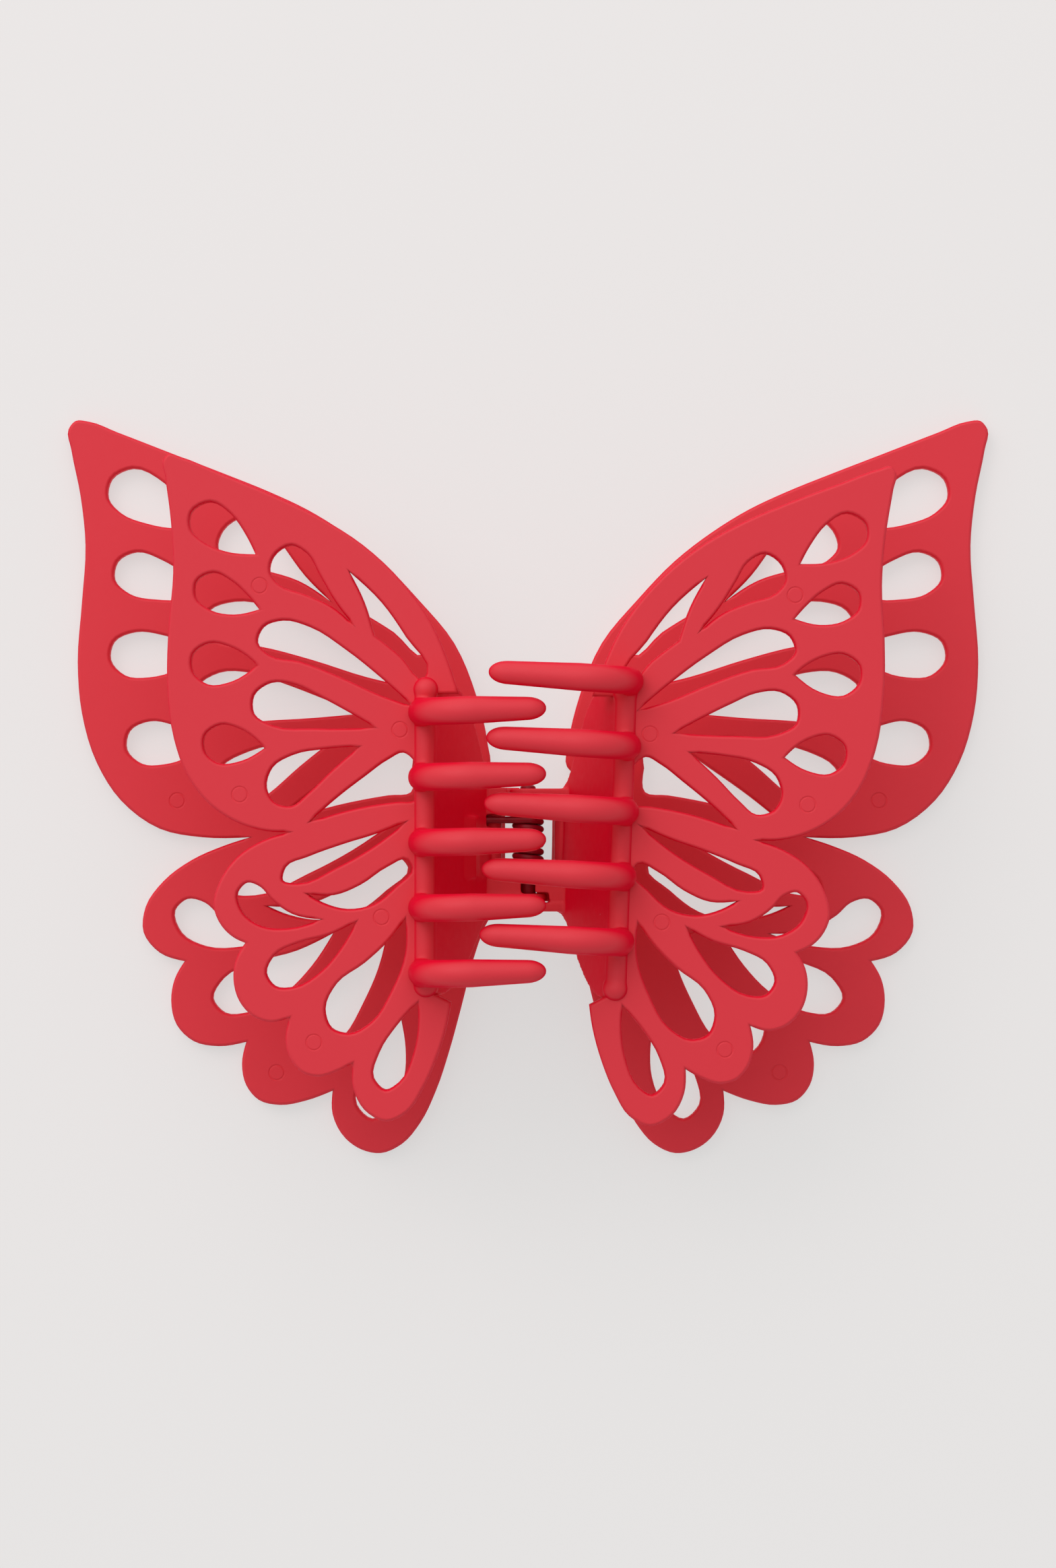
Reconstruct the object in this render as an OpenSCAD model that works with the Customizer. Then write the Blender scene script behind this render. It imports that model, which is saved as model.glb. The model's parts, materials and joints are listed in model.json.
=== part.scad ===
// Butterfly hair claw clip, lying on its outer wings with the teeth up.
// X runs from the left wing to the right wing, Y towards the wing tips, Z towards the teeth.

/* [Wings] */
// Thickness of the inner and outer wing plates
wing_thickness = 2.6; // [2:0.1:3]
// Height of the inner wings' top face above the resting surface
inner_wing_top = 28; // [27:0.5:30]
// Diameter of the round moulding marks on the plates
mark_diameter = 2.1; // [1.5:0.1:3]
// Depth of the moulding marks
mark_depth = 0.08; // [0.05:0.01:0.2]

/* [Comb] */
// Number of teeth on each jaw
tooth_count = 5; // [4:1:5]
// Distance from one tooth to the next
tooth_pitch = 8.85; // [8.6:0.05:9]
// Diameter of a tooth at its root
root_diameter = 3.8; // [3.4:0.1:4]
// Diameter of a tooth where its rounded tip begins
tip_diameter = 3.2; // [2.8:0.1:3.4]
// Radius of a tooth's bend, along its middle
tooth_bend = 6.5; // [5:0.5:7]
// How far the left teeth reach past the middle
left_reach = 2.5; // [1:0.5:4]
// How far the right teeth reach past the middle
right_reach = 4.8; // [3:0.1:6]

/* [Hinge] */
// Height of the hinge pin's axis
pivot_height = 7; // [6.5:0.1:8]
// Diameter of the hinge pin
pin_diameter = 2.2; // [2:0.1:2.3]
// Outer diameter of the hinge lugs
lug_diameter = 5.2; // [5:0.1:5.6]
// Radial clearance of the pin in the right jaw's lugs
pin_clearance = 0.05; // [0.02:0.01:0.1]

/* [Spring] */
// Diameter of the spring wire
wire_diameter = 1; // [0.8:0.05:1]
// Number of turns in the coil
coil_turns = 7; // [5:1:7]

/* [Hidden] */

plastic_red = "#D8424C";
wire_dark = "#4A1A20";
round_fn = 48;
bend_fn = 96;
curve_steps = 4;
cutter = 100;

// Jaw wall: a sloping plate from the hinge up to the comb, as [X, Z] of its inner face
left_foot = [3.7, 4];
right_foot = [5.1, 4];
wall_head = [12.6, inner_wing_top];
wall_thickness = 2.2;

// Comb: a rounded bar along the head of the wall, and the teeth that stand on it
bar_radius = 1.5;
bar_sink = 0.4;
bar_x = 14;
bar_top_y = 13.2;
bar_bottom_y = -27;
bar_end_radius = 1.75;
bar_end_inset = 0.1;
tooth_root_x = 14.4;
tooth_base = 1;
tooth_fall = 4;
tooth_rise = 1.6;
tip_length = 2.7;
tip_steps = 8;
left_first_y = 10.5;
right_first_y = 15.2;

// Play in the right half: its comb and inner wing sit slightly askew
right_skew = -2;
right_shift = -1.1;

// Hinge, as distances along Y: lugs go round the pin, and cheeks stand beside it or beside the other
// jaw's lugs. Each is [top, bottom], and a cheek adds how near to the axis it comes.
right_lugs = [[-0.3, -2.6], [-16.3, -17.5]];
right_cheeks = [[-12.9, -14.8, 1], [-14.8, -15.9, 2.95]];
left_lugs = [[-2.8, -3.9], [-15, -16.1]];
left_cheeks = [[-0.2, -2.8, 2.95], [-12.9, -15, 1]];
right_shelf = [-12.9, -16.2];
left_shelf = [-0.2, -2.8];
shelf_x = [1.2, 5];
shelf_top = 4.1;
lug_web = 6;
cheek_low = 1.2;
cheek_high = 2.4;
seat_top = -4.2;
seat_bottom = -12.7;
pin_top = 0.3;
pin_bottom = -17.9;

// Spring: its coil between the inner lugs, and the slots that let its legs through the walls
coil_radius = 1.75;
coil_top = -4.7;
coil_bottom = -12.1;
leg_height = pivot_height + coil_radius;
leg_slot = 1.6;
leg_slot_x = [3, 11];

// ---- Smooth outlines -------------------------------------------------------------------------
// A run is a smooth curve through its points. Runs that follow each other meet at a corner.

function chord(p, i) = norm(p[i + 1] - p[i]);
function pull(p, i) = (p[i + 1] - p[i]) / chord(p, i);
function inner_slope(p, i) =
    (pull(p, i - 1) * chord(p, i) + pull(p, i) * chord(p, i - 1)) / (chord(p, i - 1) + chord(p, i));
function slope(p, i) =
    let (last = len(p) - 1)
    i == 0 ? (3 * pull(p, 0) - inner_slope(p, 1)) / 2
    : i == last ? (3 * pull(p, last - 1) - inner_slope(p, last - 1)) / 2
    : inner_slope(p, i);

function hermite(a, b, va, vb, t) =
    a * (2 * pow(t, 3) - 3 * pow(t, 2) + 1) + va * (pow(t, 3) - 2 * pow(t, 2) + t)
    + b * (3 * pow(t, 2) - 2 * pow(t, 3)) + vb * (pow(t, 3) - pow(t, 2));

function smooth_run(p) = [
    for (i = [0:len(p) - 2]) for (k = [0:curve_steps - 1])
        hermite(p[i], p[i + 1], slope(p, i) * chord(p, i), slope(p, i + 1) * chord(p, i), k / curve_steps)
];
function outline(runs) = [for (run = runs) each smooth_run(run)];

// ---- Wing pattern, for the right side --------------------------------------------------------

inner_edge = [
    [[9.4, 12.6], [10.6, 16.3], [13, 22], [17, 27.7], [22.5, 32.9], [28.5, 36.7], [35, 39.8], [42, 42.7],
     [47.4, 44.9], [48.9, 45.3], [49.7, 44.4], [49.4, 42.2], [48.6, 36], [48.3, 29], [48.9, 22], [49.1, 14],
     [48.2, 6.5], [46.4, 1.5], [43.4, -2.4], [39.4, -5], [35.6, -6.1], [32.4, -6.2]],
    [[32.4, -6.2], [36, -7.3], [39.6, -9.6], [42, -13], [42.8, -16.2], [41.7, -19], [40, -20.6],
     [38.5, -21.3]],
    [[38.5, -21.3], [39.7, -23.4], [40.1, -26.2], [39.3, -29.2], [37.4, -31.3], [35, -32.1], [32.5, -31.5]],
    [[32.5, -31.5], [33, -34.3], [32.4, -37], [30.8, -38.9], [28.5, -39.5], [26, -38.8], [23.9, -37.7]],
    [[23.9, -37.7], [23.8, -41], [22.3, -44], [19.3, -45.6], [16.4, -44.3], [14.3, -41.2], [12.4, -37],
     [11, -32.5], [10.3, -28.3]]
];

outer_edge = [
    [[6.3, 1.9], [5.5, 2.8], [5.7, 6], [7.3, 12.8], [10.4, 20.2], [15.5, 26.4], [20.7, 31.8], [26, 35.9],
     [31.2, 39.1], [36.3, 41.5], [43, 44.2], [50, 46.9], [58, 50], [62, 51.5], [63.9, 51.6], [64.9, 50.4],
     [64.5, 47.5], [63.2, 41], [62.5, 34], [63, 26], [63.6, 17.5], [63, 10.3], [60.9, 3.3], [57.5, -2],
     [52, -6], [46, -7.2], [39.3, -7.2]],
    [[39.3, -7.2], [43, -8.4], [47.5, -10.4], [51.5, -13.4], [54, -17], [54.3, -20.6], [52, -23.5],
     [48.5, -24.7]],
    [[48.5, -24.7], [49.9, -27.2], [50.4, -30.2], [49.6, -33.7], [47.2, -36], [43.7, -36.7], [39.8, -36.1]],
    [[39.8, -36.1], [40.4, -39.2], [39.8, -42.2], [38, -44.3], [35, -45], [31.4, -44.4], [27.6, -43]],
    [[27.6, -43], [27.6, -46.3], [25.8, -49.7], [23.5, -51.3], [20.8, -51.8], [17.8, -50.5], [15.2, -47.5],
     [13, -43], [11, -37], [9.5, -31.5], [7, -22.2], [5.7, -18.9]]
];

// A drop: a round end and one point
drops = [
    [[37.1, 31.6], [38.4, 34.2], [40.4, 37], [43.2, 38.7], [45.8, 37.3], [45.9, 35], [44.2, 33.3],
     [41.2, 32]],
    [[36.6, 24.1], [38.2, 26], [40.3, 27.9], [42.8, 29.1], [45.1, 27.9], [45.2, 25.7], [43.2, 24],
     [40, 23.4]],
    [[36.9, 16.5], [38.4, 17.8], [40.6, 19], [43.3, 19.5], [45.6, 18], [45.6, 15.6], [43.6, 13.9],
     [40.3, 14.3]],
    [[35.9, 5.2], [37.4, 6.7], [39.4, 7.9], [41.8, 8.4], [44, 6.9], [43.9, 4.6], [42.2, 3.2], [39, 3.5]],
    [[15, -29.4], [15, -33], [15.7, -36.6], [17.6, -40.3], [19.4, -41.3], [21, -39.7], [20.2, -36.2],
     [17.8, -32.5]]
];

// The longer cells between the veins
cells = [
    [[[23.7, 21.9], [26.3, 25.2], [28.4, 28.8], [30, 31.6], [32.2, 32.8], [34.6, 31.3], [35.1, 29.2],
      [33.9, 27.5], [30.5, 26.2], [26.9, 24.6], [23.7, 21.9]]],
    [[[24.3, 29.2], [20, 25.1], [16.6, 20.3], [13.8, 15.4], [14.2, 14.7], [17.2, 17.6], [20.9, 20.6]],
     [[20.9, 20.6], [22.3, 25.2], [24.3, 29.2]]],
    [[[15.7, 10.9], [19.8, 14.6], [24.8, 18.6], [29.7, 21.7], [33.4, 22.6], [36, 21.7], [36.8, 19.6],
      [35.2, 17.9], [31, 17], [25.5, 14.9], [20, 12.4], [15.7, 10.9]]],
    [[[20.8, 8], [24.4, 10.1], [28.5, 12.3], [31.7, 13.8], [35, 14.1], [37.3, 12.4], [37.3, 9.9],
      [34.7, 8.3], [29, 7.9], [20.8, 8]]],
    [[[23, 5.4], [27.5, 5.1], [32, 4.3], [34.8, 2.6], [35.6, -0.2], [34.6, -2.1], [32.3, -2.7],
      [30, -1], [26.8, 2.1], [23, 5.4]]],
    [[[29.7, -4.8], [26.1, -1.6], [22.2, 1.4], [19, 3.7], [17, 4.6], [15.5, 3.4], [15.4, 1]],
     [[15.4, 1], [15.5, -1.9], [17.8, -2.1], [23, -2.9], [29.7, -4.8]]],
    [[[16.6, -4.8], [20.5, -6.4], [25, -7.8], [30, -9.6], [33, -11], [33.4, -12.8], [31.4, -13.2],
      [26, -11], [21.5, -8.5], [16.6, -4.8]]],
    [[[30.1, -14.6], [26.4, -14.8], [22.8, -13.4], [19.2, -11], [16.4, -10], [15.8, -11], [18, -13.6],
      [21, -16], [24.6, -16.7], [28, -15.8], [30.1, -14.6]]],
    [[[28.2, -18.1], [32, -17.4], [35, -15.3], [36.4, -13.7], [38.2, -13.1], [39.5, -14.4], [38.8, -17.2],
      [36.3, -19], [32.6, -19.3], [28.2, -18.1]]],
    [[[23.4, -18.4], [27, -20.2], [31.2, -21.3], [34.5, -23], [35.6, -25.4], [34.4, -27.2], [31.9, -27.3],
      [28, -25], [25.6, -22.2], [23.4, -18.4]]],
    [[[16.7, -18], [18.8, -20.8], [22.2, -24], [26, -26.8], [27.6, -30.3], [26.7, -32.9], [24.4, -33.6],
      [21.3, -32], [18.7, -28], [16.7, -22.5], [16.7, -18]]]
];

// The outer wing's own drops and its last cell
outer_drops = [
    [[48, 36.7], [48.6, 39.5], [51.5, 42.9], [55.8, 44.9], [58.8, 43.4], [59.3, 40.7], [57.5, 38.6],
     [53.8, 37.1],
     [49.5, 36.5]],
    [[47.3, 28.3], [48.6, 29.9], [51.8, 32], [55.3, 33.1], [58, 31.7], [58.4, 29.2], [56.3, 27.2],
     [52.6, 26.4],
     [48.8, 26.7]],
    [[47.6, 19.2], [48.6, 20.2], [51.8, 21.4], [55.5, 21.8], [58.5, 20.4], [59, 17.9], [57, 15.7],
     [53.5, 15.4],
     [49.5, 16.7]],
    [[46.3, 6.2], [47.3, 7.3], [50.3, 8.7], [53.4, 9.2], [56.3, 7.8], [56.7, 5.2], [54.6, 3.2], [51.5, 3.1],
     [48, 4.3]],
    [[17.9, -33], [17.3, -37], [17.5, -41], [19.6, -45.5], [22, -47], [24.2, -45], [23.6, -41],
     [20.8, -36.6]]
];
outer_last_cell = [
    [[19.6, -18.8], [22, -22.7], [26.3, -26.8], [31.1, -30.5], [33.4, -34.4], [32, -37.3], [29.2, -37.8],
     [26, -35.2], [23.2, -30.4], [21.2, -25.8], [19.6, -18.8]]
];

inner_marks = [[36.5, 27.3], [17.4, 7.7], [39.2, -1.1], [19.9, -17.8], [29.1, -34.8]];

// The other cells repeat the inner wing's, stretched sideways and a little taller
function stretched(p) = [1.39 * p[0] - 5, 1.165 * p[1] - 0.9 + 0.09 * (41 - p[0])];
function stretched_runs(runs) = [for (run = runs) [for (p = run) stretched(p)]];
function drop_runs(drops) = [for (d = drops) [concat(d, [d[0]])]];

module pattern(edge, openings, root) {
    difference() {
        polygon(concat(outline(edge), root));
        for (runs = openings) polygon(outline(runs));
    }
}

module marked_plate(marks, top) {
    difference() {
        translate([0, 0, top - wing_thickness]) linear_extrude(wing_thickness) children();
        for (m = marks)
            translate([m[0], m[1], top - mark_depth])
                cylinder(d = mark_diameter, h = 1, $fn = round_fn);
    }
}

inner_openings = concat(drop_runs(drops), cells);
outer_openings = concat(drop_runs(outer_drops),
                        [for (i = [0:len(cells) - 2]) stretched_runs(cells[i])],
                        [outer_last_cell]);
inner_root = [[bar_x, -28.2], [bar_x, 14.6]];
outer_root = [[4.8, -17.5], [3.9, -17.4], [3.9, -0.4], [4.9, -0.3]];

module inner_plate() {
    marked_plate(inner_marks, inner_wing_top) pattern(inner_edge, inner_openings, inner_root);
}

module outer_plate() {
    marks = [for (m = inner_marks) stretched(m)];
    marked_plate(marks, wing_thickness) pattern(outer_edge, outer_openings, outer_root);
}

// Right half of the comb and inner wing, moved as one to where the play lets it sit
module askew() { translate([right_shift, 0, 0]) rotate([0, 0, right_skew]) children(); }

// ---- Jaws ------------------------------------------------------------------------------------

// Edge of a jaw wall, as [distance up the wall, Y]
wall_upper_edge = [[-2, -0.4], [2.8, -0.3], [5.2, 1.6], [7.4, 4.4], [9.6, 7.6], [12.4, 10.9], [16, 13.3],
                   [20.5, 14.4], [27, 13.8]];
wall_lower_edge = [[27, -27.8], [22.5, -28.4], [18, -27.3], [13.6, -24.8], [9.6, -21.6], [6.6, -19],
                   [3, -17.5], [-2, -17.4]];

function wall_lean(foot) = atan2(wall_head[1] - foot[1], wall_head[0] - foot[0]);
function face_x(foot, z) = foot[0] + (z - foot[1]) / tan(wall_lean(foot));

module wall(foot) {
    difference() {
        translate([foot[0], 0, foot[1]])
            rotate([0, -wall_lean(foot), 0])
                translate([0, 0, -wall_thickness])
                    linear_extrude(wall_thickness)
                        polygon(concat(smooth_run(wall_upper_edge), [wall_upper_edge[8]],
                                       smooth_run(wall_lower_edge), [wall_lower_edge[7]]));
        translate([-cutter / 2, -cutter / 2, wing_thickness - cutter]) cube(cutter);
        translate([-cutter / 2, -cutter / 2, inner_wing_top]) cube(cutter);
    }
}

module bar() {
    translate([bar_x, bar_bottom_y, inner_wing_top - bar_sink])
        rotate([-90, 0, 0]) cylinder(r = bar_radius, h = bar_top_y - bar_bottom_y, $fn = round_fn);
    for (y = [bar_bottom_y, bar_top_y])
        translate([bar_x - bar_end_inset, y, inner_wing_top - bar_sink])
            sphere(r = bar_end_radius, $fn = round_fn);
}

// Bullet-shaped end of a tooth, pointing along +Z
module tooth_tip(radius) {
    profile = [for (k = [0:tip_steps]) let (a = k * 90 / tip_steps) [radius * cos(a), tip_length * sin(a)]];
    rotate_extrude($fn = round_fn) polygon(concat([[0, 0]], profile));
}

// One tooth: a short post, a bend and a straight run to the tip, drawn in the XZ plane
module tooth(reach) {
    radius = root_diameter / 2;
    bend_x = tooth_root_x - tooth_bend;
    run = (bend_x - tooth_bend * sin(tooth_fall) + reach) / cos(tooth_fall) - tip_length;
    rotate([90, 0, 0]) {
        translate([tooth_root_x, 0, 0])
            rotate([-90, 0, 0]) cylinder(r = radius, h = tooth_base, $fn = round_fn);
        translate([bend_x, tooth_base, 0]) {
            rotate_extrude(angle = 90 + tooth_fall, $fn = bend_fn)
                translate([tooth_bend, 0]) circle(r = radius, $fn = round_fn);
            rotate([0, 0, 90 + tooth_fall])
                translate([tooth_bend, 0, 0])
                    rotate([-90, 0, 0]) {
                        cylinder(r1 = radius, r2 = tip_diameter / 2, h = run, $fn = round_fn);
                        translate([0, 0, run]) tooth_tip(tip_diameter / 2);
                    }
        }
    }
}

module comb(first_y, reach) {
    bar();
    for (i = [0:tooth_count - 1])
        translate([0, first_y - i * tooth_pitch, inner_wing_top])
            rotate([0, 0, -tooth_rise]) tooth(reach);
}

// Lugs that carry the pin, each joined to the wall by a web
module lugs(spans) {
    for (span = spans)
        translate([0, span[0], pivot_height]) rotate([90, 0, 0]) {
            cylinder(d = lug_diameter, h = span[0] - span[1], $fn = round_fn);
            translate([0, -lug_diameter / 2, 0]) cube([lug_web, lug_diameter, span[0] - span[1]]);
        }
}

module cheeks(spans) {
    for (span = spans)
        translate([span[2], span[1], pivot_height - cheek_low])
            cube([lug_web - span[2], span[0] - span[1], cheek_low + cheek_high]);
}

// Shelf under the other jaw's lug
module shelf(span) {
    translate([shelf_x[0], span[1], wing_thickness])
        cube([shelf_x[1] - shelf_x[0], span[0] - span[1], shelf_top - wing_thickness]);
}

module pin_bore(radius) {
    translate([0, pin_top + 1, pivot_height])
        rotate([90, 0, 0]) cylinder(r = radius, h = pin_top - pin_bottom + 2, $fn = round_fn);
}

// Ledge and pad on the wall beside the spring
module spring_seat(foot) {
    translate([0, seat_top, 0]) rotate([90, 0, 0])
        linear_extrude(seat_top - seat_bottom)
            polygon([[3.7, wing_thickness], [3.7, 6.7], [4.5, 7.6], [6, 7.6],
                     [face_x(foot, 15) - 0.6, 15], [face_x(foot, 19) + 0.2, 19],
                     [face_x(foot, 15) + 0.8, 15],
                     [6.4, wing_thickness]]);
}

module leg_slot_cut(y) {
    translate([leg_slot_x[0], y - leg_slot / 2, leg_height - leg_slot / 2])
        cube([leg_slot_x[1] - leg_slot_x[0], leg_slot, leg_slot]);
}

// ---- Spring ----------------------------------------------------------------------------------

wire_sides = 8;
turn_steps = 16;
ring_up = [0.03, 1, 0.02];

function unit(v) = v / norm(v);
function heading(path, i) = unit(path[min(i + 1, len(path) - 1)] - path[max(i - 1, 0)]);
function ring(path, i) =
    let (t = heading(path, i), u = unit(cross(t, ring_up)), v = cross(t, u))
    [for (k = [0:wire_sides - 1])
        path[i] + wire_diameter / 2 * (u * cos(360 * k / wire_sides) + v * sin(360 * k / wire_sides))];

// Tube of wire_diameter swept along a path
module wire(path) {
    rings = len(path);
    points = [for (i = [0:rings - 1]) each ring(path, i)];
    sides = [for (i = [0:rings - 2]) for (k = [0:wire_sides - 1])
        let (a = i * wire_sides + k, b = i * wire_sides + (k + 1) % wire_sides)
        [a, b, b + wire_sides, a + wire_sides]];
    ends = [[for (k = [wire_sides - 1:-1:0]) k],
    [for (k = [0:wire_sides - 1]) (rings - 1) * wire_sides + k]];
    polyhedron(points, concat(sides, ends));
}

// Turns of the coil, from the left leg at its top to the right leg at its foot
coil_path = [
    for (k = [0:coil_turns * turn_steps])
        let (a = 90 - 360 * k / turn_steps, part = k / (coil_turns * turn_steps))
        [coil_radius * cos(a), coil_top + (coil_bottom - coil_top) * part,
         pivot_height + coil_radius * sin(a)]
];

// Rest of a leg outside the right wall, mirrored for the left one
function leg_path(y) = [[2.6, y, leg_height], [5.2, y, leg_height], [7.6, y, leg_height],
                        [8.6, y, leg_height + 0.5], [9.4, y, leg_height + 2], [10.3, y, leg_height + 4.6],
                        [11.3, y, leg_height + 7.4]];

// ---- Nodes -----------------------------------------------------------------------------------

module left_jaw() {
    color(plastic_red) mirror([1, 0, 0])
        difference() {
            union() {
                wall(left_foot);
                spring_seat(left_foot);
                lugs(left_lugs);
                cheeks(left_cheeks);
                shelf(left_shelf);
                comb(left_first_y, left_reach);
            }
            pin_bore(pin_diameter / 2);
            leg_slot_cut(coil_top);
        }
}

module right_jaw() {
    color(plastic_red)
        difference() {
            union() {
                askew() wall(right_foot);
                askew() comb(right_first_y, right_reach);
                spring_seat(left_foot);
                lugs(right_lugs);
                cheeks(right_cheeks);
                shelf(right_shelf);
            }
            pin_bore(pin_diameter / 2 + pin_clearance);
            leg_slot_cut(coil_bottom);
        }
}

module left_inner_wing() {
    color(plastic_red) mirror([1, 0, 0])
        difference() {
            inner_plate();
            wall(left_foot);
            bar();
        }
}

module right_inner_wing() {
    color(plastic_red) askew()
        difference() {
            inner_plate();
            wall(right_foot);
            bar();
        }
}

module left_outer_wing() { color(plastic_red) mirror([1, 0, 0]) outer_plate(); }
module right_outer_wing() { color(plastic_red) outer_plate(); }

module hinge_pin() {
    color(wire_dark) translate([0, pin_top, pivot_height]) rotate([90, 0, 0])
        cylinder(d = pin_diameter, h = pin_top - pin_bottom, $fn = round_fn);
}

module torsion_spring() {
    left_leg = [for (p = leg_path(coil_top)) [-p[0], p[1], p[2]]];
    reversed = [for (i = [len(left_leg) - 1:-1:0]) left_leg[i]];
    color(wire_dark) wire(concat(reversed, coil_path, leg_path(coil_bottom)));
}

left_jaw();
right_jaw();
left_inner_wing();
right_inner_wing();
left_outer_wing();
right_outer_wing();
hinge_pin();
torsion_spring();
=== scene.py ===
import json
import math

import bmesh
import bpy
import numpy as np
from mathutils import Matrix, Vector
from mathutils.geometry import tessellate_polygon


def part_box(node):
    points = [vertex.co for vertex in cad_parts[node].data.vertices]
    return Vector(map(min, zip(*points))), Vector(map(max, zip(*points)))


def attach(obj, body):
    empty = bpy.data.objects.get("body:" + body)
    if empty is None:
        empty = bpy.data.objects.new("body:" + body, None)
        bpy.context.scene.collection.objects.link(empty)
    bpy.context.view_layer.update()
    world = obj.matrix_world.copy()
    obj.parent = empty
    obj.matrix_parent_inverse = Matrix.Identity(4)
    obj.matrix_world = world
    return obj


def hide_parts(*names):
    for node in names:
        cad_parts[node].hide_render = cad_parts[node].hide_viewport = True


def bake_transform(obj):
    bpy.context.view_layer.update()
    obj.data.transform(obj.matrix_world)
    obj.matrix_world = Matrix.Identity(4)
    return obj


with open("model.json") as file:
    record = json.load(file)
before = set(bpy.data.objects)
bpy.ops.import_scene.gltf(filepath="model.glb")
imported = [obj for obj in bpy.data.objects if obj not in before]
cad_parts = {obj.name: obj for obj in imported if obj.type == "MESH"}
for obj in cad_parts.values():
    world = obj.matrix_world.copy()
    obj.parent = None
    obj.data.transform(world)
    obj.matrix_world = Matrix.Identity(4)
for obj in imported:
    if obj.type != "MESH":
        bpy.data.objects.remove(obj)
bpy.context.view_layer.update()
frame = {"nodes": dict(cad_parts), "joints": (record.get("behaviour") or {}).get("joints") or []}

MM = 0.001
scene = bpy.context.scene
joint = frame["joints"][0]
pivot = Vector(joint["pos_m"])


# ---- Meshes ------------------------------------------------------------------

VOXEL = 0.20 * MM
MOST_TRIANGLES = 190_000
WELD = 1e-7
LEVEL = 1e-6
TINY = 1e-9


def made_from(name, bm):
    """A new piece with what a bmesh holds; the bmesh is freed."""
    mesh = bpy.data.meshes.new(name)
    bm.to_mesh(mesh)
    bm.free()
    piece = bpy.data.objects.new(name, mesh)
    scene.collection.objects.link(piece)
    return piece


def bridge(bm, rings):
    """A tube of faces through rings that have the same number of points."""
    for a, b in zip(rings, rings[1:]):
        for k in range(len(a)):
            n = (k + 1) % len(a)
            bm.faces.new((a[k], a[n], b[n], b[k]))


def tube(name, rings, bm):
    """A smooth round piece through rings, closed at both ends."""
    bridge(bm, rings)
    bm.faces.new(reversed(rings[0]))
    bm.faces.new(rings[-1])
    bmesh.ops.recalc_face_normals(bm, faces=bm.faces)
    piece = made_from(name, bm)
    piece.data.shade_smooth()
    return piece


def around(sides):
    """The angles of a ring's points."""
    return [2 * math.pi * k / sides for k in range(sides)]


def baked(piece):
    """The piece with its modifiers applied."""
    graph = bpy.context.evaluated_depsgraph_get()
    mesh = bpy.data.meshes.new_from_object(piece.evaluated_get(graph))
    piece.modifiers.clear()
    piece.data = mesh
    return piece


def moulded(name, nodes, body, rounds):
    """CAD nodes as one moulding: their edges rounded and the corners between them filleted."""
    bm = bmesh.new()
    for node in nodes:
        bm.from_mesh(frame["nodes"][node].data)
    bmesh.ops.remove_doubles(bm, verts=bm.verts, dist=WELD)
    piece = made_from(name, bm)
    skin = piece.modifiers.new("skin", "REMESH")
    skin.mode = "VOXEL"
    skin.voxel_size = VOXEL
    soften = piece.modifiers.new("soften", "SMOOTH")
    soften.factor = 0.5
    soften.iterations = rounds
    baked(piece)
    triangles = 2 * len(piece.data.polygons)
    if triangles > MOST_TRIANGLES:
        thin = piece.modifiers.new("thin", "DECIMATE")
        thin.ratio = MOST_TRIANGLES / triangles
        baked(piece)
    piece.data.shade_smooth()
    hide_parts(*nodes)
    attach(piece, body)
    return piece


# Section of a plate's rim: its foot as (part of the thickness, inset), then an arc up to the top face
RIM_LOW = [(0.00, 0.16 * MM), (0.02, 0.07 * MM), (0.07, 0.00)]
RIM_TOP_WIDE = 0.44 * MM
RIM_TOP_DEEP = 0.80 * MM
RIM_STEPS = 7
# Most that a corner moves for one unit of inset
MITER_MOST = 1.8


def outlines(node):
    """A flat plate's outlines at its lower face, as closed loops with the material on their left."""
    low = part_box(node)[0][2]
    bm = bmesh.new()
    bm.from_mesh(frame["nodes"][node].data)
    bmesh.ops.remove_doubles(bm, verts=bm.verts, dist=LEVEL)
    under = {f for f in bm.faces if all(abs(v.co.z - low) < LEVEL for v in f.verts)}
    after = {}
    for f in under:
        for loop in f.loops:
            if sum(other in under for other in loop.edge.link_faces) == 1:
                after[loop.link_loop_next.vert] = loop.vert
    loops = []
    while after:
        start, v = after.popitem()
        chain = [start, v]
        while v in after:
            v = after.pop(v)
            chain.append(v)
        if chain[0] == chain[-1]:
            chain.pop()
        loops.append(np.array([v.co.xy for v in chain]))
    bm.free()
    return loops


def inward(loop):
    """How each point of a loop moves for one unit of inset."""
    ahead = np.roll(loop, -1, axis=0) - loop
    ahead /= np.linalg.norm(ahead, axis=1)[:, None]
    left = np.stack([-ahead[:, 1], ahead[:, 0]], axis=1)
    both = left + np.roll(left, 1, axis=0)
    size = np.maximum(np.linalg.norm(both, axis=1)[:, None], TINY)
    return both / size * np.minimum(2 / size, MITER_MOST)


# Ring groove of a moulding mark, as (from its radius outwards, height) across the groove
MARK_RADIUS = 1.05 * MM
MARK_SECTION = [(0.16 * MM, 0.0), (0.06 * MM, -0.12 * MM), (-0.06 * MM, -0.12 * MM), (-0.16 * MM, 0.0)]
MARK_SIDES = 40
# What tells a mark in the CAD mesh: how deep it may be, and how far its points are from the circle
MARK_DEPTH = (0.02 * MM, 0.3 * MM)
MARK_SLACK = 0.15 * MM


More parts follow.
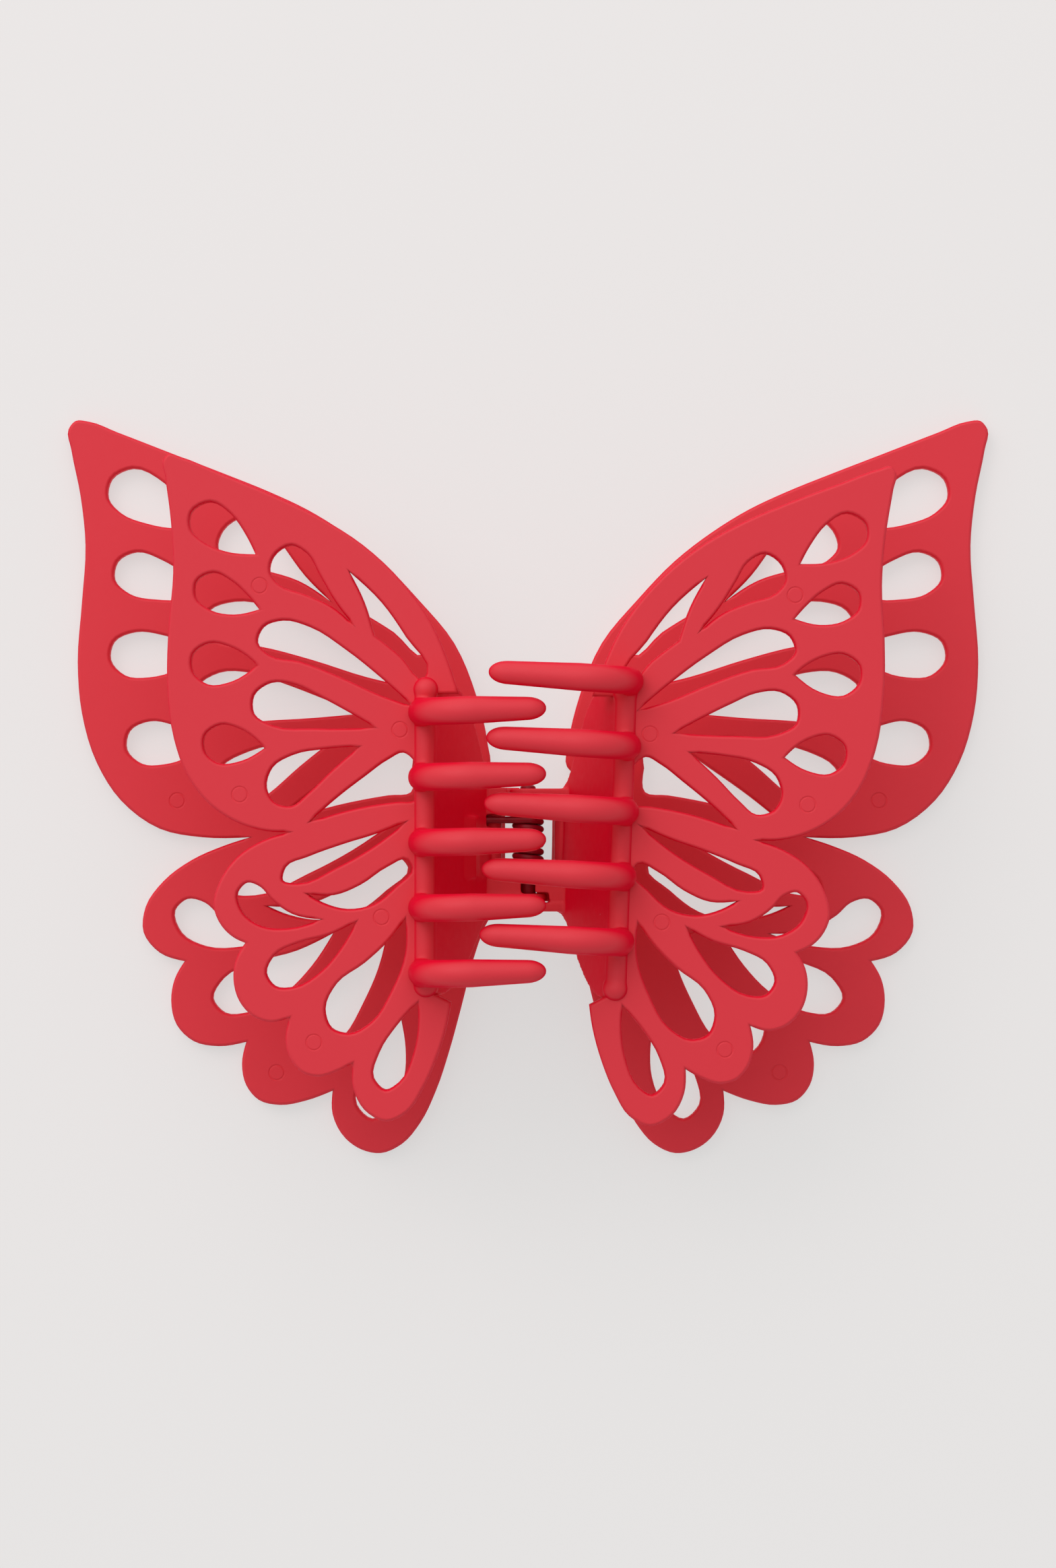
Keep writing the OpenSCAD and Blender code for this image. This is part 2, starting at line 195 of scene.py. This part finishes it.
def marks_of(node):
    """Centres of the round moulding marks in a plate's top face, found in the CAD mesh."""
    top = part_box(node)[1][2]
    points = np.array([v.co for v in frame["nodes"][node].data.vertices])
    depth = top - points[:, 2]
    rims = points[(depth > MARK_DEPTH[0]) & (depth < MARK_DEPTH[1])]
    centres = []
    while len(rims):
        near = np.linalg.norm(rims[:, :2] - rims[0, :2], axis=1) < 3 * MARK_RADIUS
        spot = rims[near][:, :2]
        centre = spot.mean(axis=0)
        reach = np.linalg.norm(spot - centre, axis=1)
        if np.abs(reach - MARK_RADIUS).max() < MARK_SLACK:
            centres.append(centre)
        rims = rims[~near]
    return centres


# Ends of the line along which each near wing meets its comb, in mm
ROOTS = {"left": ((-14.0, -27.6), (-14.0, 12.6)), "right": ((12.03, -27.8), (13.45, 12.2))}
# An outline's points this near to that line are the steps that the wall cuts
ROOT_BAND = 2.7 * MM


def rooted(loop, ends):
    """A near wing's outline with its root straight, in place of the steps where the wall cuts it."""
    ends = [np.array(end) * MM for end in ends]
    length = np.linalg.norm(ends[1] - ends[0])
    along = (ends[1] - ends[0]) / length
    reach = (loop - ends[0]) @ along
    off = np.abs((loop - ends[0]) @ np.array([-along[1], along[0]]))
    steps = (off < ROOT_BAND) & (reach > -ROOT_BAND) & (reach < length + ROOT_BAND)
    first = int(np.flatnonzero(steps & ~np.roll(steps, 1))[0])
    loop, steps = np.roll(loop, -first, axis=0), np.roll(steps, -first)
    ends.sort(key=lambda end: np.linalg.norm(loop[0] - end))
    return np.vstack([ends, loop[~steps]])


def plate(name, node, body, root=None):
    """A wing plate with moulded rims and the shallow ring marks in its top face."""
    loops = outlines(node)
    if root:
        outer = max(range(len(loops)), key=lambda i: len(loops[i]))
        loops[outer] = rooted(loops[outer], root)
    low, high = (corner[2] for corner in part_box(node))
    thick = high - low
    section = [(low + part * thick, inset) for part, inset in RIM_LOW]
    for k in range(RIM_STEPS + 1):
        a = math.radians(90 * k / RIM_STEPS)
        section.append((high - RIM_TOP_DEEP * (1 - math.sin(a)), RIM_TOP_WIDE * (1 - math.cos(a))))
    bm = bmesh.new()
    bottoms, tops, flat = [], [], []
    for loop in loops:
        shift = inward(loop)
        rings = [[bm.verts.new((*p, z)) for p in loop + shift * inset] for z, inset in section]
        bridge(bm, rings)
        bottoms.append(rings[0])
        tops.append(rings[-1])
    for x, y in marks_of(node):
        rings = []
        for out, up in MARK_SECTION:
            r = MARK_RADIUS + out
            rings.append([bm.verts.new((x + r * math.cos(a), y - r * math.sin(a), high + up))
                          for a in around(MARK_SIDES)])
        bridge(bm, rings)
        flat.append(bm.faces.new(reversed(rings[-1])))
        tops.append(rings[0])
    flat += cap(bm, tops) + cap(bm, bottoms)
    bmesh.ops.recalc_face_normals(bm, faces=bm.faces)
    for f in bm.faces:
        f.smooth = True
    for f in flat:
        f.smooth = False
    piece = made_from(name, bm)
    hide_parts(node)
    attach(piece, body)
    return piece


def cap(bm, rings):
    """Flat face between an outer ring and the rings of its holes."""
    verts = [v for ring in rings for v in ring]
    corners = tessellate_polygon([[v.co for v in ring] for ring in rings])
    return [bm.faces.new([verts[i] for i in corner]) for corner in corners]


WIRE_SIDES = 14
# Domed end of a wire: angles up from its side, tip first, and the dome's height for the wire's radius
TIP_ANGLES = (75, 50, 25)
TIP_OUT = 0.8


def swept(name, path, radius):
    """A round wire along a path of points, with domed ends."""
    path = [Vector(p) for p in path]
    last = len(path) - 1
    bm = bmesh.new()

    def ring(centre, u, v, r):
        return [bm.verts.new(centre + r * (math.cos(a) * u + math.sin(a) * v)) for a in around(WIRE_SIDES)]

    stations = []
    side = None
    for i, p in enumerate(path):
        t = (path[min(i + 1, last)] - path[max(i - 1, 0)]).normalized()
        side = t.orthogonal() if side is None else side - t * side.dot(t)
        side.normalize()
        stations.append((p, t, side.copy(), t.cross(side)))
    dome = [(math.cos(a), math.sin(a)) for a in map(math.radians, TIP_ANGLES)]
    p, t, u, v = stations[0]
    rings = [ring(p - t * radius * s * TIP_OUT, u, v, radius * c) for c, s in dome]
    rings += [ring(p, u, v, radius) for p, t, u, v in stations]
    p, t, u, v = stations[-1]
    rings += [ring(p + t * radius * s * TIP_OUT, u, v, radius * c) for c, s in reversed(dome)]
    return tube(name, rings, bm)


TURNED_SIDES = 48


def lathed(name, profile, x, z):
    """A turned piece about the line along Y at (x, z), from (y, radius) pairs."""
    bm = bmesh.new()
    rings = [[bm.verts.new((x + r * math.cos(a), y, z + r * math.sin(a))) for a in around(TURNED_SIDES)]
             for y, r in profile]
    return tube(name, rings, bm)


# ---- Materials ---------------------------------------------------------------

def material(name):
    made = bpy.data.materials.new(name)
    made.use_nodes = True
    nodes = made.node_tree.nodes
    nodes.clear()
    shader = nodes.new("ShaderNodeBsdfPrincipled")
    output = nodes.new("ShaderNodeOutputMaterial")
    made.node_tree.links.new(shader.outputs[0], output.inputs[0])
    return made, nodes, made.node_tree.links, shader


def noise(nodes, links, place, scale, detail=2.0, rough=0.5):
    made = nodes.new("ShaderNodeTexNoise")
    made.inputs["Scale"].default_value = scale
    made.inputs["Detail"].default_value = detail
    made.inputs["Roughness"].default_value = rough
    links.new(place.outputs["Object"], made.inputs["Vector"])
    return made


def ramp(nodes, links, source, stops):
    made = nodes.new("ShaderNodeValToRGB")
    made.color_ramp.elements[0].position, made.color_ramp.elements[0].color = stops[0]
    made.color_ramp.elements[1].position, made.color_ramp.elements[1].color = stops[-1]
    for place, colour in stops[1:-1]:
        made.color_ramp.elements.new(place).color = colour
    links.new(source, made.inputs["Fac"])
    return made


def spread(nodes, links, source, low, high):
    """A value that goes from low to high as the source goes from 0 to 1."""
    made = nodes.new("ShaderNodeMapRange")
    made.inputs["To Min"].default_value = low
    made.inputs["To Max"].default_value = high
    links.new(source, made.inputs["Value"])
    return made.outputs["Result"]


def bumped(nodes, links, height, strength, depth):
    made = nodes.new("ShaderNodeBump")
    made.inputs["Strength"].default_value = strength
    made.inputs["Distance"].default_value = depth
    links.new(height, made.inputs["Height"])
    return made


def plastic():
    made, nodes, links, shader = material("red_plastic")
    place = nodes.new("ShaderNodeTexCoord")
    tone = noise(nodes, links, place, 45, 4.0, 0.55)
    deep = ramp(nodes, links, tone.outputs["Fac"], [
        (0.30, (0.780, 0.003, 0.028, 1)),
        (0.70, (0.820, 0.004, 0.032, 1)),
    ])
    # Painted sheen: faces that look up get a paler red that stands in for the light they catch, and the
    # walls between them keep the deep red
    normal = nodes.new("ShaderNodeSeparateXYZ")
    links.new(place.outputs["Normal"], normal.inputs[0])
    painted_sheen_mask = ramp(nodes, links, normal.outputs["Z"], [
        (0.40, (0, 0, 0, 1)), (0.72, (1, 1, 1, 1))])
    reds = nodes.new("ShaderNodeMix")
    reds.data_type = "RGBA"
    links.new(painted_sheen_mask.outputs["Color"], reds.inputs["Factor"])
    links.new(deep.outputs["Color"], reds.inputs["A"])
    # Paler red of the painted sheen on up-facing faces
    reds.inputs["B"].default_value = (0.765, 0.038, 0.056, 1)
    # Rare pale specks of dust
    cells = nodes.new("ShaderNodeTexVoronoi")
    cells.inputs["Scale"].default_value = 190
    links.new(place.outputs["Object"], cells.inputs["Vector"])
    near = ramp(nodes, links, cells.outputs["Distance"], [
        (0.012, (1, 1, 1, 1)), (0.026, (0, 0, 0, 1))])
    chance = nodes.new("ShaderNodeSeparateColor")
    links.new(cells.outputs["Color"], chance.inputs[0])
    rare = nodes.new("ShaderNodeMath")
    rare.operation = "GREATER_THAN"
    rare.inputs[1].default_value = 0.80
    links.new(chance.outputs[0], rare.inputs[0])
    speck = nodes.new("ShaderNodeMath")
    speck.operation = "MULTIPLY"
    links.new(near.outputs["Color"], speck.inputs[0])
    links.new(rare.outputs[0], speck.inputs[1])
    dusted = nodes.new("ShaderNodeMix")
    dusted.data_type = "RGBA"
    links.new(speck.outputs[0], dusted.inputs["Factor"])
    links.new(reds.outputs["Result"], dusted.inputs["A"])
    dusted.inputs["B"].default_value = (0.74, 0.22, 0.22, 1)
    links.new(dusted.outputs["Result"], shader.inputs["Base Color"])
    # Soft-touch finish: uneven gloss, and a fine moulded grain over a slight swell
    gloss = noise(nodes, links, place, 900, 3.0)
    links.new(spread(nodes, links, gloss.outputs["Fac"], 0.44, 0.60), shader.inputs["Roughness"])
    grain = noise(nodes, links, place, 5200, 2.0, 0.6)
    wave = noise(nodes, links, place, 260, 2.0)
    fine = bumped(nodes, links, grain.outputs["Fac"], 0.12, 0.02 * MM)
    swell = bumped(nodes, links, wave.outputs["Fac"], 0.03, 0.10 * MM)
    links.new(swell.outputs["Normal"], fine.inputs["Normal"])
    links.new(fine.outputs["Normal"], shader.inputs["Normal"])
    shine = spread(nodes, links, painted_sheen_mask.outputs["Color"], 0.06, 0.24)
    links.new(shine, shader.inputs["Specular IOR Level"])
    return made


def coated_wire():
    made, nodes, links, shader = material("coated_wire")
    place = nodes.new("ShaderNodeTexCoord")
    tone = noise(nodes, links, place, 700, 4.0, 0.6)
    reds = ramp(nodes, links, tone.outputs["Fac"], [
        (0.32, (0.200, 0.002, 0.010, 1)),
        (0.68, (0.290, 0.004, 0.016, 1)),
    ])
    links.new(reds.outputs["Color"], shader.inputs["Base Color"])
    gloss = noise(nodes, links, place, 2500, 2.0)
    links.new(spread(nodes, links, gloss.outputs["Fac"], 0.28, 0.46), shader.inputs["Roughness"])
    coat = bumped(nodes, links, gloss.outputs["Fac"], 0.2, 0.01 * MM)
    links.new(coat.outputs["Normal"], shader.inputs["Normal"])
    shader.inputs["Specular IOR Level"].default_value = 0.25
    return made


def floor_material():
    made, nodes, links, shader = material("pale_floor")
    place = nodes.new("ShaderNodeTexCoord")
    tone = noise(nodes, links, place, 3, 2.0)
    pale = ramp(nodes, links, tone.outputs["Fac"], [
        (0.3, (0.348, 0.238, 0.237, 1)),
        (0.7, (0.352, 0.242, 0.241, 1)),
    ])
    links.new(pale.outputs["Color"], shader.inputs["Base Color"])
    # Its own glow keeps the floor flat and pale where the clip shades it
    shader.inputs["Emission Color"].default_value = (0.508, 0.581, 0.575, 1)
    shader.inputs["Emission Strength"].default_value = 1.0
    shader.inputs["Roughness"].default_value = 0.9
    shader.inputs["Specular IOR Level"].default_value = 0.1
    return made


RED = plastic()
WIRE = coated_wire()

# ---- The clip ----------------------------------------------------------------

for side in ("left", "right"):
    body = side + "_half"
    for piece in (
        moulded(side + "_claw", [side + "_jaw"], body, rounds=8),
        plate(side + "_near_wing", side + "_inner_wing", body, ROOTS[side]),
        plate(side + "_far_wing", side + "_outer_wing", body),
    ):
        piece.data.materials.append(RED)

# Hinge pin, with domed ends as angles from the tip
DOME_ANGLES = range(10, 90, 16)
pin_low, pin_high = (Vector(c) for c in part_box("hinge_pin"))
pin_radius = (pin_high.x - pin_low.x) / 2
pin_dome = pin_radius / 2
dome = [(math.sin(a), math.cos(a)) for a in map(math.radians, DOME_ANGLES)]
profile = ([(pin_low.y + pin_dome * (1 - c), pin_radius * s) for s, c in dome]
           + [(pin_low.y + pin_dome, pin_radius), (pin_high.y - pin_dome, pin_radius)]
           + [(pin_high.y - pin_dome * (1 - c), pin_radius * s) for s, c in reversed(dome)])
pin = lathed("hinge_rod", profile, 0, pivot.z)
pin.data.materials.append(WIRE)
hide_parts("hinge_pin")
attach(pin, "left_half")

# Torsion spring: a close coil on the pin, with a leg through each jaw's wall
WIRE_RADIUS = 0.49 * MM
COIL_RADIUS = 1.75 * MM
COIL_TOP = -4.7 * MM
COIL_FOOT = -12.1 * MM
TURNS = 7
TURN_STEPS = 40
leg_z = pivot.z + COIL_RADIUS
# A leg from its end to the coil, as (distance from the middle, height over the coil's top)
leg = [(10.9, 6.3), (10.3, 4.6), (9.8, 3.1), (9.4, 2.0), (9.0, 1.1), (8.6, 0.5), (8.1, 0.15), (7.6, 0),
       (6.4, 0), (5.2, 0), (3.9, 0), (2.6, 0), (1.3, 0)]
left_leg = [(-x * MM, COIL_TOP, leg_z + z * MM) for x, z in leg]
right_leg = [(x * MM, COIL_FOOT, leg_z + z * MM) for x, z in reversed(leg)]
coil = []
for k in range(TURNS * TURN_STEPS + 1):
    part = k / (TURNS * TURN_STEPS)
    a = math.radians(90) - 2 * math.pi * k / TURN_STEPS
    coil.append((COIL_RADIUS * math.cos(a), COIL_TOP + (COIL_FOOT - COIL_TOP) * part,
                 pivot.z + COIL_RADIUS * math.sin(a)))
spring = swept("return_spring", left_leg + coil + right_leg, WIRE_RADIUS)
spring.data.materials.append(WIRE)
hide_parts("torsion_spring")
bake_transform(spring)

# ---- Stage -------------------------------------------------------------------

FLOOR_HALF = 4.0
FLOOR_DROP = 0.02 * MM
CAMERA_HEIGHT = 0.700
CAMERA_Y = 0.33 * MM

bm = bmesh.new()
bmesh.ops.create_grid(bm, x_segments=2, y_segments=2, size=FLOOR_HALF)
floor = made_from("floor", bm)
floor.location.z = -FLOOR_DROP
floor.data.materials.append(floor_material())

world = bpy.data.worlds.new("studio")
scene.world = world
world.use_nodes = True
back = world.node_tree.nodes["Background"]
back.inputs["Color"].default_value = (1.0, 0.995, 0.99, 1)
back.inputs["Strength"].default_value = 0.44


def lit(name, data, direction, place=(0, 0, 0)):
    """A lamp that shines in a direction."""
    lamp = bpy.data.objects.new(name, data)
    lamp.location = place
    lamp.rotation_euler = Vector(direction).to_track_quat("-Z", "Y").to_euler()
    scene.collection.objects.link(lamp)


# A broad light from behind the wing tips, and a weak soft sun from the upper left
top = bpy.data.lights.new("top", "AREA")
top.shape = "DISK"
top.size = 1.5
top.energy = 6.5
lit("top", top, direction=(0.22, -0.56, -0.68), place=(-0.22, 0.58, 0.68))
key = bpy.data.lights.new("key", "SUN")
key.energy = 0.3
key.angle = math.radians(24)
lit("key", key, direction=(0.62, -0.70, -1.0))

camera_data = bpy.data.cameras.new("camera")
camera_data.sensor_fit = "VERTICAL"
camera_data.sensor_height = 36
camera_data.lens = 113.5
camera_data.clip_start = 0.01
camera = bpy.data.objects.new("camera", camera_data)
camera.location = (0, CAMERA_Y, CAMERA_HEIGHT)
scene.collection.objects.link(camera)
scene.camera = camera

scene.view_settings.view_transform = "Standard"
scene.view_settings.look = "None"
